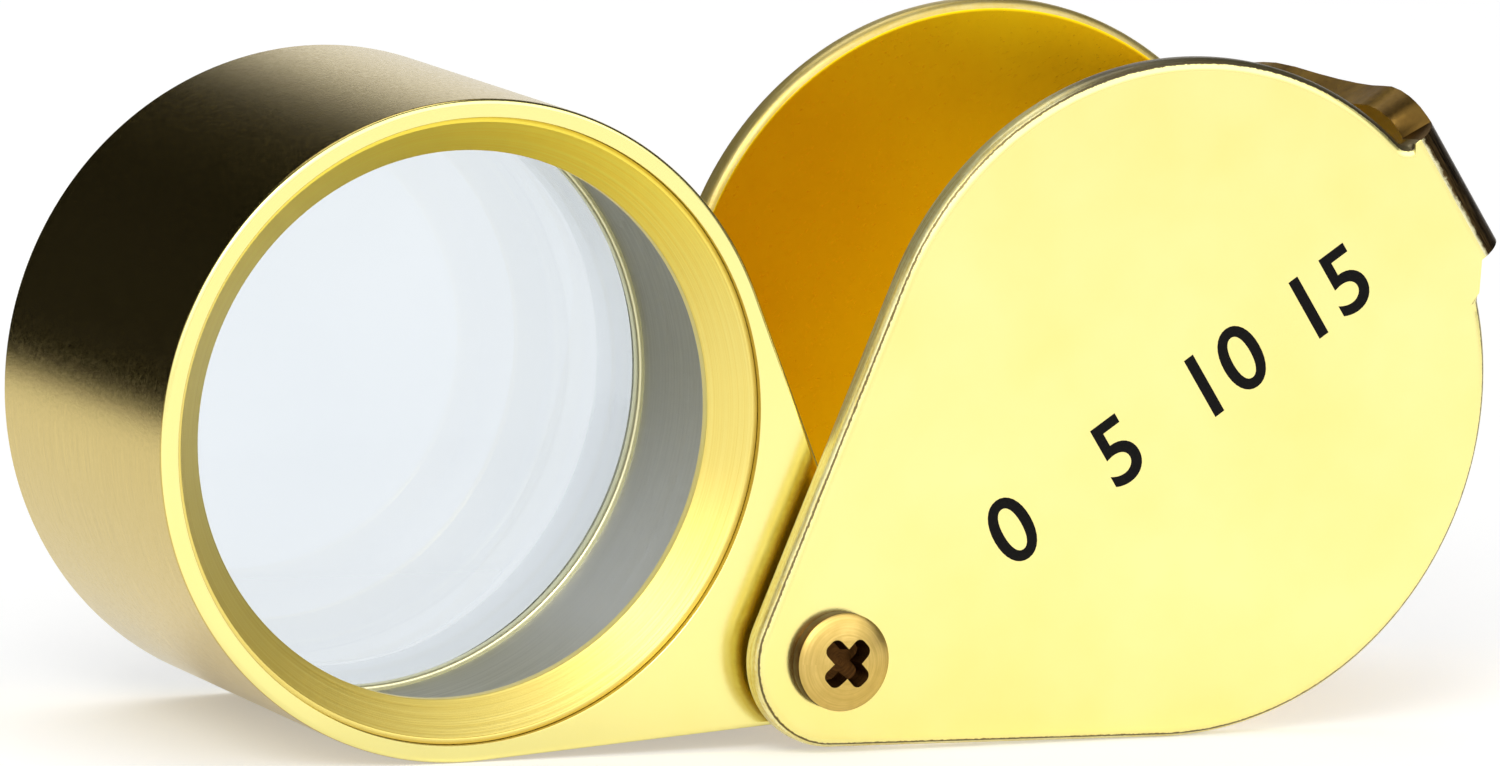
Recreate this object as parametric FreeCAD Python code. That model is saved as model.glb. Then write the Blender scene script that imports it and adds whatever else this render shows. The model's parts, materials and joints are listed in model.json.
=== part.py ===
import FreeCAD, Part
import math
import os

from FreeCAD import Vector

# Folding jeweler loupe, stored open. A round lens barrel swings on a screw pivot out of a case
# bent from one strip of sheet metal: two drop-shaped covers joined by a strap at the far end.
# Millimetres. X runs along the open loupe, Y runs away from the viewer through its depth and
# Z is up. The origin is on the table, under the middle of the part.
# Each piece is drawn with the pivot at the origin and its long axis along X. Then it is turned
# to its angle about the pivot and set down on the table.

open_angle = 115.1            # degrees between the long axes of barrel and case

# Barrel: the drop-shaped housing and its bore
pivot_reach = 16.4            # pivot to the lens axis, the same in the barrel and in the covers
barrel_radius = 12.0
barrel_depth = 15.1
barrel_chamfer = 0.2
barrel_wall = 0.65            # bore to the outside of the barrel
lug_wall = 0.6                # bush to the outside of the lug
rear_lip_depth = 0.8          # ledge that the rear lens lies on
rear_lip_width = 0.95
rear_lip_chamfer = 0.3

# Front retaining ring with its dished bevel
ring_recess = 0.3
ring_depth = 1.7
ring_edge = 0.08              # chamfer that leaves the dark line around the ring
ring_land = 0.18              # flat rim around the bevel
ring_bevel = 1.2              # how far the bevel comes in towards the lens axis
aperture_lip = 0.4

# Lens group, from the rear lip forward
lens_slack = 0.05             # lens rim to the bore
lens_rim = 0.85
lens_curve = 50.0             # radius of the two facing crowns
crown_gap = 0.2
lens_spacer_wall = 0.75
clamp_depth = 0.5
clamp_width = 0.58
clamp_chamfer = 0.12
tube_wall = 0.18
seat_gap = 0.02               # slack of every ring and lens in the bore, and of the bush in the lug

# Case: one bent sheet
cover_margin = 0.55           # a cover's round end beyond the barrel
tip_margin = 0.75             # a cover's tip beyond the lug
sheet = 1.2
sheet_round = 0.4             # rounding that polishing leaves along the cut edges
front_gap = 0.45              # barrel to front cover
back_gap = 0.35               # barrel to back cover
strap_clearance = 0.9         # the swinging barrel to the strap's inner face
neck_least = 0.7              # straight neck between a cover and its bend
strap_ear = 0.95              # how far the strap stands out past the neck, each side
strap_corner_share = 1.25     # corner rounding of an ear, as a share of the ear
strap_shoulder = 0.6          # outer face of a cover to where the strap gets wide
strap_round = 0.2
neck_width = 5.3
neck_fillet = 0.6
bend_radius = 1.0

# Pivot: cross-head screw in front, slotted threaded post from behind, bush and washers
thread_radius = 1.0
thread_slack = 0.01
screw_length = 6.5            # under the head
screw_hole_radius = 1.1
head_radius = 1.8
head_side = 0.55
head_crown = 0.35
recess_arm = 1.15             # middle of the head to the end of a recess arm
recess_width = 0.52
recess_depth = 0.6
post_radius = 1.4
post_fit = 0.02               # post in the back cover
post_thread_depth = 8.0
post_head_radius = 2.1
slot_width = 0.5
slot_depth = 0.35
running_gap = 0.04            # bush on the post
bush_wall = 0.45
washer_slack = 0.03           # air on each flat side of the washers, and in their holes
flat_washer = 0.15
wave_sheet = 0.12
wave_count = 3
wave_points = 36

# One length by which cutting tools pass the faces that they cut
overrun = 1.0

# Sizes across the two axes, each from the piece that it fits
bore_radius = barrel_radius - barrel_wall
rear_lip_radius = bore_radius - rear_lip_width
ring_radius = bore_radius - seat_gap
ring_mouth_radius = ring_radius - ring_land
aperture_radius = ring_mouth_radius - ring_bevel
clamp_radius = ring_radius - clamp_width
lens_radius = bore_radius - lens_slack
crown_radius = lens_radius - lens_spacer_wall - seat_gap
cover_radius = barrel_radius + cover_margin
bush_radius = post_radius + running_gap + bush_wall
lug_radius = bush_radius + seat_gap + lug_wall
washer_radius = lug_radius - barrel_chamfer
tip_radius = lug_radius + tip_margin
strap_width = neck_width + 2 * strap_ear
strap_corner = strap_ear * strap_corner_share

# Places through the depth, from the sizes above
case_depth = barrel_depth + front_gap + back_gap + 2 * sheet
front_face = -case_depth / 2
back_face = case_depth / 2
barrel_front = front_face + sheet + front_gap
barrel_back = barrel_front + barrel_depth
crown_height = lens_curve - math.sqrt(lens_curve ** 2 - crown_radius ** 2)
rear_lens_back = barrel_back - rear_lip_depth
rear_lens_front = rear_lens_back - lens_rim
front_lens_back = rear_lens_front - 2 * crown_height - crown_gap
front_lens_front = front_lens_back - lens_rim
clamp_front = front_lens_front - clamp_depth
ring_front = barrel_front + ring_recess
ring_back = ring_front + ring_depth

# Places along the case
neck_start = pivot_reach + math.sqrt(cover_radius ** 2 - (neck_width / 2) ** 2)
strap_inside = max(pivot_reach + barrel_radius + strap_clearance,
                   neck_start + neck_least + bend_radius - sheet)
strap_outside = strap_inside + sheet
bend_start = strap_outside - bend_radius

# The open loupe stands on the round sides of its barrel and its case, as the photo shows it
folded = math.pi - math.radians(open_angle)
round_span = 2 * pivot_reach * math.cos(folded / 2)
lean = math.asin((cover_radius - barrel_radius) / round_span)
case_angle = folded / 2 + lean
barrel_angle = math.pi - (folded / 2 - lean)
left_end = pivot_reach * math.cos(barrel_angle) - barrel_radius
strap_low_corner = strap_outside * math.cos(case_angle) + strap_width / 2 * math.sin(case_angle)
right_end = max(strap_low_corner, pivot_reach * math.cos(case_angle) + cover_radius)
pivot_height = cover_radius - pivot_reach * math.sin(case_angle)
pivot_place = Vector(-(left_end + right_end) / 2, 0, pivot_height)

through = Vector(0, 1, 0)
pivot_axis = Vector(0, 0, 0)
lens_axis = Vector(pivot_reach, 0, 0)


def rod(radius, start, end, middle=pivot_axis):
    """A round bar along the depth, from one Y to another."""
    return Part.makeCylinder(radius, end - start, middle + through * start, through)


def cone(start_radius, end_radius, start, end, middle=pivot_axis):
    """A tapered round bar along the depth."""
    return Part.makeCone(start_radius, end_radius, end - start, middle + through * start, through)


def block(low, high):
    """A box between two corners."""
    size = high - low
    return Part.makeBox(size.x, size.y, size.z, low)


def drop(round_radius, tip, start, end):
    """A plate with a round end about the lens axis, a round tip about the pivot and straight sides."""
    side = math.acos((tip - round_radius) / pivot_reach)

    def rim(middle, radius, angle):
        return Vector(middle + radius * math.cos(angle), start, radius * math.sin(angle))

    top_tip, low_tip = rim(0, tip, side), rim(0, tip, -side)
    top_round, low_round = rim(pivot_reach, round_radius, side), rim(pivot_reach, round_radius, -side)
    sides = [
        Part.LineSegment(top_tip, top_round).toShape(),
        Part.Arc(top_round, rim(pivot_reach, round_radius, 0), low_round).toShape(),
        Part.LineSegment(low_round, low_tip).toShape(),
        Part.Arc(low_tip, rim(0, tip, math.pi), top_tip).toShape(),
    ]
    return Part.Face(Part.Wire(sides)).extrude(through * (end - start))


def edges_where(shape, test):
    """Edges of a shape whose bounding box passes a test."""
    return [edge for edge in shape.Edges if test(edge.BoundBox)]


def flat_at(place):
    """A test for edges that lie in the plane Y = place."""
    return lambda box: abs(box.YMin - place) < seat_gap and abs(box.YMax - place) < seat_gap


def cover(start, end):
    """One cover with its neck, its cut edges rounded, up to the strap."""
    neck = block(Vector(pivot_reach, start, -neck_width / 2), Vector(bend_start, end, neck_width / 2))
    plate = drop(cover_radius, tip_radius, start, end).fuse(neck).removeSplitter()

    def at_neck(box):
        upright = box.YLength > sheet / 2 and box.XLength < seat_gap and box.ZLength < seat_gap
        return upright and abs(box.XMin - neck_start) < seat_gap

    plate = plate.makeFillet(neck_fillet, edges_where(plate, at_neck))
    rim = edges_where(plate, lambda box: (flat_at(start)(box) or flat_at(end)(box))
                      and box.XMin < bend_start - seat_gap)
    return plate.makeFillet(sheet_round, rim)


def strap():
    """The strap across the far end: wide between the covers, narrow where it is bent."""
    web = block(Vector(strap_inside, front_face, -strap_width / 2),
                Vector(strap_outside, back_face, strap_width / 2))
    bends = edges_where(web, lambda box: box.ZLength > strap_width / 2
                        and box.XMin > strap_outside - seat_gap)
    web = web.makeFillet(bend_radius, bends)
    wide = block(Vector(strap_inside, front_face + strap_shoulder, -strap_width / 2),
                 Vector(strap_outside, back_face - strap_shoulder, strap_width / 2))
    corners = edges_where(wide, lambda box: box.XLength > sheet / 2 and box.YLength < seat_gap
                          and box.ZLength < seat_gap)
    wide = wide.makeFillet(strap_corner, corners)
    neck = block(Vector(strap_inside, front_face, -neck_width / 2),
                 Vector(strap_outside, back_face, neck_width / 2))
    web = web.common(wide.fuse(neck)).removeSplitter()
    long_edges = edges_where(web, lambda box: box.YLength > case_depth / 2
                             and abs(abs(box.ZMin) - strap_width / 2) < seat_gap
                             and box.XLength < seat_gap)
    return web.makeFillet(strap_round, long_edges)


def case_shell():
    """Both covers and the strap, one sheet, with the pivot holes."""
    front = cover(front_face, front_face + sheet)
    back = cover(back_face - sheet, back_face)
    shell = front.fuse([back, strap()]).removeSplitter()
    screw_hole = rod(screw_hole_radius, front_face - overrun, front_face + sheet + overrun)
    post_hole = rod(post_radius + post_fit, back_face - sheet - overrun, back_face + overrun)
    return shell.cut([screw_hole, post_hole])


def domed_head(radius, seat, outward):
    """A low domed screw head that stands on a face and bulges outward along Y."""
    crown_curve = (radius ** 2 + head_crown ** 2) / (2 * head_crown)
    top = seat + outward * (head_side + head_crown)
    middle = top - outward * crown_curve
    body = rod(radius, min(seat, top), max(seat, top))
    return body.common(Part.makeSphere(crown_curve, through * middle))


def pivot_screw():
    """Cross-head screw through the front cover into the post."""
    head = domed_head(head_radius, front_face, -1)
    top = front_face - head_side - head_crown
    shank = rod(thread_radius, front_face, front_face + screw_length)
    arm = block(Vector(-recess_arm, top - overrun, -recess_width / 2),
                Vector(recess_arm, top + recess_depth, recess_width / 2))
    arm.rotate(pivot_axis, through, math.degrees(math.pi / 4))
    across = arm.copy()
    across.rotate(pivot_axis, through, math.degrees(math.pi / 2))
    point = cone(recess_arm, recess_width / 2, top, top + 2 * recess_depth)
    recess = arm.fuse(across).common(point.fuse(rod(recess_arm, top - overrun, top)))
    return head.fuse(shank).removeSplitter().cut(recess)


def pivot_post():
    """Threaded post from behind, with a slotted head on the back cover."""
    head = domed_head(post_head_radius, back_face, 1)
    front_end = front_face + sheet
    body = rod(post_radius, front_end, back_face)
    thread = rod(thread_radius + thread_slack, front_end - overrun, front_end + post_thread_depth)
    top = back_face + head_side + head_crown
    slot = block(Vector(-post_head_radius, top - slot_depth, -slot_width / 2),
                 Vector(post_head_radius, top + overrun, slot_width / 2))
    return head.fuse(body).removeSplitter().cut([thread, slot])


def flat_ring(outer, inner, start, end, middle=pivot_axis):
    """A plain round ring along the depth."""
    return rod(outer, start, end, middle).cut(rod(inner, start - overrun, end + overrun, middle))


def washer(start, end):
    """A flat washer on the post."""
    return flat_ring(washer_radius, post_radius + washer_slack, start, end)


def front_washer():
    """Flat washer on the front of the lug."""
    end = barrel_front - washer_slack
    return washer(end - flat_washer, end)


def back_washer():
    """Flat washer that fills the gap behind the lug."""
    return washer(barrel_back + washer_slack, back_face - sheet - washer_slack)


def wave_washer():
    """Thin spring washer that gives the pivot its drag, a ring that waves up and down."""
    low = front_face + sheet + washer_slack
    high = barrel_front - 2 * washer_slack - flat_washer - wave_sheet
    middle, swing = (low + high) / 2, (high - low) / 2

    def wavy(radius):
        places = []
        for step in range(wave_points):
            turn = 2 * math.pi * step / wave_points
            rise = middle + swing * math.cos(wave_count * turn)
            places.append(Vector(radius * math.cos(turn), rise, radius * math.sin(turn)))
        curve = Part.BSplineCurve()
        curve.interpolate(Points=places, PeriodicFlag=True)
        return curve.toShape()

    ring = Part.makeRuledSurface(wavy(post_radius + washer_slack), wavy(washer_radius))
    return ring.extrude(through * wave_sheet)


def barrel_housing():
    """Drop-shaped housing with its bore, the rear lip and the hole for the bush."""
    body = drop(barrel_radius, lug_radius, barrel_front, barrel_back)
    outline = edges_where(body, lambda box: flat_at(barrel_front)(box) or flat_at(barrel_back)(box))
    body = body.makeChamfer(barrel_chamfer, outline)
    bore = rod(bore_radius, barrel_front - overrun, rear_lens_back, lens_axis)
    window = rod(rear_lip_radius, barrel_front, barrel_back + overrun, lens_axis)
    flare = cone(rear_lip_radius, rear_lip_radius + rear_lip_chamfer + overrun,
                 barrel_back - rear_lip_chamfer, barrel_back + overrun, lens_axis)
    bush_hole = rod(bush_radius + seat_gap, barrel_front - overrun, barrel_back + overrun)
    return body.cut([bore, window, flare, bush_hole])


def pivot_bush():
    """Bronze bush in the lug that turns on the post."""
    return flat_ring(bush_radius, post_radius + running_gap, barrel_front, barrel_back)


def front_retaining_ring():
    """Ring in the mouth of the bore, with a dished bevel down to the aperture."""
    body = rod(ring_radius, ring_front, ring_back, lens_axis)
    outline = edges_where(body, flat_at(ring_front))
    body = body.makeChamfer(ring_edge, outline)
    lip = ring_back - aperture_lip
    bevel = cone(ring_mouth_radius, aperture_radius, ring_front, lip, lens_axis)
    aperture = rod(aperture_radius, ring_front, ring_back + overrun, lens_axis)
    return body.cut([bevel, aperture])


def spacer_tube():
    """Grey tube between the front ring and the lens clamp, the dark wall seen inside."""
    return flat_ring(ring_radius, ring_radius - tube_wall, ring_back, clamp_front, lens_axis)


def lens_clamp_ring():
    """Thin bright ring on the rim of the front lens."""
    ring = flat_ring(ring_radius, clamp_radius, clamp_front, front_lens_front, lens_axis)
    inner = edges_where(ring, lambda box: flat_at(clamp_front)(box)
                        and box.XLength < 2 * clamp_radius + seat_gap)
    return ring.makeChamfer(clamp_chamfer, inner)


def lens(flat, rim_end, crown):
    """Plano-convex lens: a rim with a flat seat for the spacer, and the crown inside it."""
    outward = 1 if crown > flat else -1
    rim = rod(lens_radius, min(flat, rim_end), max(flat, rim_end), lens_axis)
    ball = Part.makeSphere(lens_curve, lens_axis + through * (crown - outward * lens_curve))
    bulge = rod(crown_radius, min(flat, crown), max(flat, crown), lens_axis).common(ball)
    return rim.fuse(bulge).removeSplitter()


def front_lens():
    """Front lens, flat side to the eye."""
    return lens(front_lens_front, front_lens_back, front_lens_back + crown_height)


def rear_lens():
    """Rear lens on the lip, its crown towards the front lens."""
    return lens(rear_lens_back, rear_lens_front, rear_lens_front - crown_height)


def lens_spacer():
    """Ring that keeps the two crowns apart."""
    return flat_ring(lens_radius, lens_radius - lens_spacer_wall, front_lens_back, rear_lens_front,
                     lens_axis)


def placed(shape, angle):
    """Turn a piece up from X about the pivot and set the pivot over the table."""
    shape.rotate(pivot_axis, through, -math.degrees(angle))
    shape.translate(pivot_place)
    return shape


case_pieces = [case_shell, pivot_screw, pivot_post, front_washer, wave_washer, back_washer]
barrel_pieces = [barrel_housing, pivot_bush, front_retaining_ring, spacer_tube, lens_clamp_ring,
                 front_lens, lens_spacer, rear_lens]


def main():
    """Write one STEP file for each piece."""
    os.makedirs("parts", exist_ok=True)
    for pieces, angle in ((case_pieces, case_angle), (barrel_pieces, barrel_angle)):
        for piece in pieces:
            shape = placed(piece(), angle)
            shape.exportStep("parts/" + piece.__name__ + ".step")
            box = shape.BoundBox
            print("%-22s solids %d valid %s volume %9.2f  x %7.2f %7.2f  y %6.2f %6.2f  z %6.2f %6.2f" % (
                piece.__name__, len(shape.Solids), shape.isValid(), shape.Volume,
                box.XMin, box.XMax, box.YMin, box.YMax, box.ZMin, box.ZMax))
    print("pivot x %.3f z %.3f, case %.2f deg, barrel %.2f deg" % (
        pivot_place.x, pivot_place.z, math.degrees(case_angle), math.degrees(barrel_angle)))
    print("front face %.3f, barrel front %.3f, lens front %.3f" % (
        front_face, barrel_front, front_lens_front))


main()
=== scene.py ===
# %% [markdown]
# # A folding loupe, dressed for its picture
#
# The construction of this magnifier is finished elsewhere: a round barrel with two lenses swings
# on a screw out of a case bent from one strip of gold-plated sheet. That model is loaded here as a
# fixed frame, in metres, with the lens looking along Y and Z pointing up.
#
# Engineering models are made of flat facets. Polished metal shows every facet in its reflections,
# so the pieces that the eye meets are modelled again with finer, rounder shapes, exactly in the
# place of the old ones. The hidden pieces stay as they are and only get a finish.

# %% Load the frame
import json
import math

import bmesh
import bpy
from mathutils import Matrix, Vector


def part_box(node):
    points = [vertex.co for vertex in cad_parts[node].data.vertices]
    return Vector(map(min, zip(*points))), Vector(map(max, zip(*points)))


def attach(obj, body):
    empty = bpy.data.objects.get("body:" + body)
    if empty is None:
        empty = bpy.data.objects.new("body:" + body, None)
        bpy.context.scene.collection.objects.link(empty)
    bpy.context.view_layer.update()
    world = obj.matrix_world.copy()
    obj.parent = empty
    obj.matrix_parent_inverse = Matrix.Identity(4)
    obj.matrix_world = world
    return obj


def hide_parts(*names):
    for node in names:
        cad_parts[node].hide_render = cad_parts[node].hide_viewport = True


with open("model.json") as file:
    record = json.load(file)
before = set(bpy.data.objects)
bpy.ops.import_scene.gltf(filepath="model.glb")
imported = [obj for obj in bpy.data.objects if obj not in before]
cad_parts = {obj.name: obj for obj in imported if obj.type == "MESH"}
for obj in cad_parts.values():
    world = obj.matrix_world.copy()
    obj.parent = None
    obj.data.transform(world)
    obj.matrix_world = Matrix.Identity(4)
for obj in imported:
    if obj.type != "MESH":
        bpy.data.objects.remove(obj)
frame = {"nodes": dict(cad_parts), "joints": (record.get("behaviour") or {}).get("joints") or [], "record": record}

for name in ("Cube", "Light", "Camera"):
    if name in bpy.data.objects:
        bpy.data.objects.remove(bpy.data.objects[name])
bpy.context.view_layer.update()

print("nodes:", sorted(frame["nodes"]))

# %% [markdown]
# ## Where things are
#
# The hinge gives the pivot, a box round the front lens gives the lens axis, and the mount on the
# strap gives the direction of the case. From these come the two tilts that all pieces share. Sizes
# are written in millimetres, because that is how a maker thinks of them, and `MM` turns them into
# metres.

# %% Axes of the loupe
MM = 0.001


def middle_of(node):
    """The middle of a node's box at rest, in metres."""
    low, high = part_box(node)
    return (Vector(low) + Vector(high)) / 2


pivot = Vector(frame["joints"][0]["pos_m"])
lens_middle = middle_of("front_lens")
barrel_reach = Vector((lens_middle.x - pivot.x, 0, lens_middle.z - pivot.z))
strap_mount = next(m for m in frame["record"]["mounts"] if m["name"] == "strap_outer_face")
case_reach = Vector(strap_mount["pos_m"]) - pivot
barrel_tilt = math.atan2(barrel_reach.z, barrel_reach.x)
case_tilt = math.atan2(case_reach.z, case_reach.x)
reach = barrel_reach.length / MM
strap_outside = Vector((case_reach.x, 0, case_reach.z)).length / MM
print(f"pivot to lens {reach:.2f} mm, to strap {strap_outside:.2f} mm, "
      f"barrel at {math.degrees(barrel_tilt):.1f}, case at {math.degrees(case_tilt):.1f} degrees")

# %% [markdown]
# ## The camera
#
# The photograph was taken with a long lens from the left front, a little above, and the camera
# was not quite level. A long lens keeps both covers almost the same size. The camera is described
# the way a photographer would: the point it looks at, how far round and how high it stands, how
# far away it is and how much it is rolled.

# %% Camera
camera_data = bpy.data.cameras.new("camera")
camera = bpy.data.objects.new("camera", camera_data)
bpy.context.scene.collection.objects.link(camera)
bpy.context.scene.camera = camera

look_at = Vector((-0.215, 0.12, 12.145)) * MM
camera_distance = 448 * MM
round_to_left, above, roll = (math.radians(angle) for angle in (25.5, 8.8, 2.19))
forward = Vector((math.sin(round_to_left) * math.cos(above),
                  math.cos(round_to_left) * math.cos(above), -math.sin(above)))
level_right = Vector((math.cos(round_to_left), -math.sin(round_to_left), 0))
level_up = level_right.cross(forward)
right = level_right * math.cos(roll) + level_up * math.sin(roll)
upward = right.cross(forward)
turn = Matrix((right, upward, -forward)).transposed().to_4x4()
camera.matrix_world = Matrix.Translation(look_at - forward * camera_distance) @ turn
camera_data.sensor_width = 36
camera_data.lens = 292.9
camera_data.clip_start = 0.01
print("camera at", [round(value, 4) for value in camera.matrix_world.translation])

# %% [markdown]
# ## Floor and light
#
# The product stands on white paper in a white studio. Metal has no colour of its own to show: it
# shows the room. So the room matters more than the lamps. Seen straight or through glass, the
# surroundings are white. Seen in the metal they have dark zones: above, behind on the left, on the
# right side, and a dark cloth on the floor behind on the left. A photographer puts black cards
# there, because without something dark to reflect, gold looks like yellow plastic. The zones are
# soft spots in fixed directions of the world. A black card in the picture would also show through
# the lens, so the zones are painted into the surroundings and only mirror rays meet them.
#
# In a narrow gap light goes to and fro between two mirrors. Rays that come off a second or third
# mirror see a dimmer room, so the gaps get painted shade. The lamps can't be seen through the lens
# either, or one would burn a spot into its rim.

# %% Floor
bpy.ops.mesh.primitive_plane_add(size=6, location=(0, 0, 0))
floor = bpy.context.object
floor.name = "paper_floor"

# %% Node helpers
def node(tree, kind, inputs=(), **settings):
    """A node with its inputs linked or set, and its settings."""
    made = tree.nodes.new(kind)
    for key, value in settings.items():
        setattr(made, key, value)
    for key, value in dict(inputs).items():
        if isinstance(value, bpy.types.NodeSocket):
            tree.links.new(value, made.inputs[key])
        else:
            made.inputs[key].default_value = value
    return made


def spread(tree, value, low, high, to_low=0.0, to_high=1.0, smooth=False):
    """A value moved from one range to another."""
    kind = "SMOOTHSTEP" if smooth else "LINEAR"
    return node(tree, "ShaderNodeMapRange",
                {"Value": value, "From Min": low, "From Max": high, "To Min": to_low,
                 "To Max": to_high}, interpolation_type=kind).outputs["Result"]


def calculate(tree, operation, first, second=0.0):
    """One step of arithmetic."""
    return node(tree, "ShaderNodeMath", {0: first, 1: second},
                operation=operation).outputs["Value"]


def plus(tree, first, second):
    """Two values added."""
    return calculate(tree, "ADD", first, second)


def times(tree, first, second):
    """Two values multiplied."""
    return calculate(tree, "MULTIPLY", first, second)


def rest_of(tree, share):
    """What is left of one."""
    return calculate(tree, "SUBTRACT", 1.0, share)


def axes_of(tree, place):
    """X, Y and Z of a place or a direction."""
    return node(tree, "ShaderNodeSeparateXYZ", {0: place}).outputs


def blended(tree, share, first, second):
    """Two colours mixed by a share."""
    return node(tree, "ShaderNodeMix", {0: share, 6: first, 7: second},
                data_type="RGBA").outputs[2]


# %% White paper
FULL_WHITE, DIFFUSE_LEVEL, SECOND_MIRROR, THIRD_MIRROR = 1.0, 0.55, 0.6, 0.08
BLACK = (0.0, 0.0, 0.0, 1)


def ray_kinds(tree):
    """Two switches: rays that look straight or through glass, and rays that come off a mirror."""
    paths = node(tree, "ShaderNodeLightPath").outputs
    glossy = paths["Is Glossy Ray"]
    direct = calculate(tree, "MAXIMUM", paths["Is Camera Ray"], paths["Is Transmission Ray"])
    been_through = calculate(tree, "GREATER_THAN", paths["Transmission Depth"], 0.5)
    direct = calculate(tree, "MAXIMUM", direct, times(tree, been_through, glossy))
    mirrored = times(tree, glossy, rest_of(tree, direct))
    # Rays off a second or third mirror see a dimmer room: painted shade in narrow gaps.
    for depth, left_over in ((1.5, SECOND_MIRROR), (2.5, THIRD_MIRROR / SECOND_MIRROR)):
        deeper = calculate(tree, "GREATER_THAN", paths["Glossy Depth"], depth)
        mirrored = times(tree, mirrored, spread(tree, deeper, 0, 1, 1.0, left_over))
    return direct, mirrored


paper = bpy.data.materials.new("white_paper")
paper.use_nodes = True
tree = paper.node_tree
tree.nodes.clear()
direct, mirrored = ray_kinds(tree)
seen = plus(tree, direct, mirrored)
floor_place = node(tree, "ShaderNodeTexCoord").outputs["Object"]
distance = node(tree, "ShaderNodeVectorMath", {0: floor_place},
                operation="LENGTH").outputs["Value"]
far = spread(tree, distance, 0.10, 0.45, smooth=True)
floor_x, floor_y, _ = axes_of(tree, floor_place)
# In front of the loupe the paper glows more than behind it: a painted pool of light that the barrel's face
# mirrors.
near_glow = spread(tree, floor_y, -0.014, 0.016, 0.40, 0.27, smooth=True)
glow_level = times(tree, seen, spread(tree, far, 0, 1, near_glow, FULL_WHITE))
felt = times(tree, spread(tree, floor_y, 0.068, 0.125, smooth=True),
             spread(tree, floor_x, 0.01, -0.02, smooth=True))
felt = times(tree, felt, mirrored)
paper_colour = blended(tree, far, (0.86, 0.86, 0.86, 1), BLACK)
lit = node(tree, "ShaderNodeBsdfDiffuse", {"Color": blended(tree, felt, paper_colour, BLACK)})
glow_level = times(tree, glow_level, rest_of(tree, felt))
glow = node(tree, "ShaderNodeEmission", {"Color": (1, 1, 1, 1), "Strength": glow_level})
both = node(tree, "ShaderNodeAddShader", {0: lit.outputs[0], 1: glow.outputs[0]})
node(tree, "ShaderNodeOutputMaterial", {"Surface": both.outputs[0]})
floor.data.materials.append(paper)

# %% White room with dark zones
room = bpy.data.worlds.new("white_room")
bpy.context.scene.world = room
room.use_nodes = True
tree = room.node_tree
tree.nodes.clear()
direction = node(tree, "ShaderNodeTexCoord").outputs["Generated"]
towards_x, towards_y, towards_z = axes_of(tree, direction)


def zone(*limits):
    """How much a direction lies in a zone, 0 to 1, from (axis, outside, inside) limits."""
    share = None
    for axis, outside, inside in limits:
        low, high = sorted((outside, inside))
        part = spread(tree, axis, low, high, int(low == inside), int(high == inside), smooth=True)
        share = part if share is None else times(tree, share, part)
    return share


def darkened(level, share, to):
    """A brightness brought down to a level inside a zone."""
    return times(tree, level, spread(tree, share, 0, 1, 1.0, to))


ceiling = zone((towards_z, 0.26, 0.44), (towards_y, -0.38, 0.04))
back_left = zone((towards_x, 0.42, 0.10), (towards_y, 0.05, 0.40))
right_side = zone((towards_x, 0.66, 0.88))
soft_box = zone((towards_z, 0.08, 0.35), (towards_y, -0.10, -0.40))
brightness = spread(tree, soft_box, 0, 1, 1.0, 2.0)
brightness = darkened(brightness, ceiling, 0.04)
brightness = darkened(brightness, back_left, 0.012)
brightness = darkened(brightness, right_side, 0.07)
direct, mirrored = ray_kinds(tree)
level = plus(tree, DIFFUSE_LEVEL, times(tree, direct, 1 - DIFFUSE_LEVEL))
mirror_gain = calculate(tree, "SUBTRACT", brightness, DIFFUSE_LEVEL)
level = plus(tree, level, times(tree, mirrored, mirror_gain))
light = node(tree, "ShaderNodeBackground", {"Color": (1, 1, 1, 1), "Strength": level})
node(tree, "ShaderNodeOutputWorld", {"Surface": light.outputs[0]})

# %% Lamps
def soft_lamp(name, place, size, power):
    """A large square lamp that looks at the loupe."""
    bpy.ops.object.light_add(type="AREA", location=place)
    lamp = bpy.context.object
    lamp.name = name
    lamp.data.size = size
    lamp.data.energy = power
    lamp.visible_transmission = False
    lamp.rotation_euler = (-Vector(place)).to_track_quat("-Z", "Y").to_euler()
    print(name, power, "W")


soft_lamp("lamp_left_front", (-0.5, -0.6, 0.7), 0.5, 2.8)
soft_lamp("lamp_top", (0.0, 0.45, 0.85), 0.6, 2.0)
bpy.context.scene.view_settings.view_transform = "Standard"

# %% [markdown]
# ## How the pieces are shaped
#
# Most pieces of an optical instrument come off a lathe, so most pieces here start as a circle that
# is pushed from one radius and depth to the next, like the steps of a turning drawing. The other
# pieces are sheet metal: one point is swept and stretched until it has drawn the outline. Pieces
# are shaped a thousand times too large and shrunk at the end, because modelling tools have
# tolerances made for larger things.

# %% Shaping helpers
AROUND, AROUND_HEAD, AROUND_SMALL = 192, 96, 64
WELD, TOUCH = 0.0005, 0.001


def hold(piece):
    """Select one piece alone and make it the active one."""
    bpy.ops.object.select_all(action="DESELECT")
    piece.select_set(True)
    bpy.context.view_layer.objects.active = piece


def begin(name):
    """Give the new object its name and open it for shaping."""
    piece = bpy.context.object
    piece.name = piece.data.name = name
    bpy.ops.object.transform_apply(location=True, rotation=True, scale=True)
    bpy.ops.object.mode_set(mode="EDIT")
    bpy.ops.mesh.select_all(action="SELECT")
    return piece


def pick(kind, test):
    """In edit mode, select the corners, edges or faces that pass a test, and say how many."""
    bpy.ops.mesh.select_mode(type=kind)
    bpy.ops.mesh.select_all(action="DESELECT")
    mesh = bpy.context.object.data
    shape = bmesh.from_edit_mesh(mesh)
    parts = {"VERT": shape.verts, "EDGE": shape.edges, "FACE": shape.faces}[kind]
    chosen = [part for part in parts if test(part)]
    for part in chosen:
        part.select_set(True)
    shape.select_flush_mode()
    bmesh.update_edit_mesh(mesh)
    return len(chosen)


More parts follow.
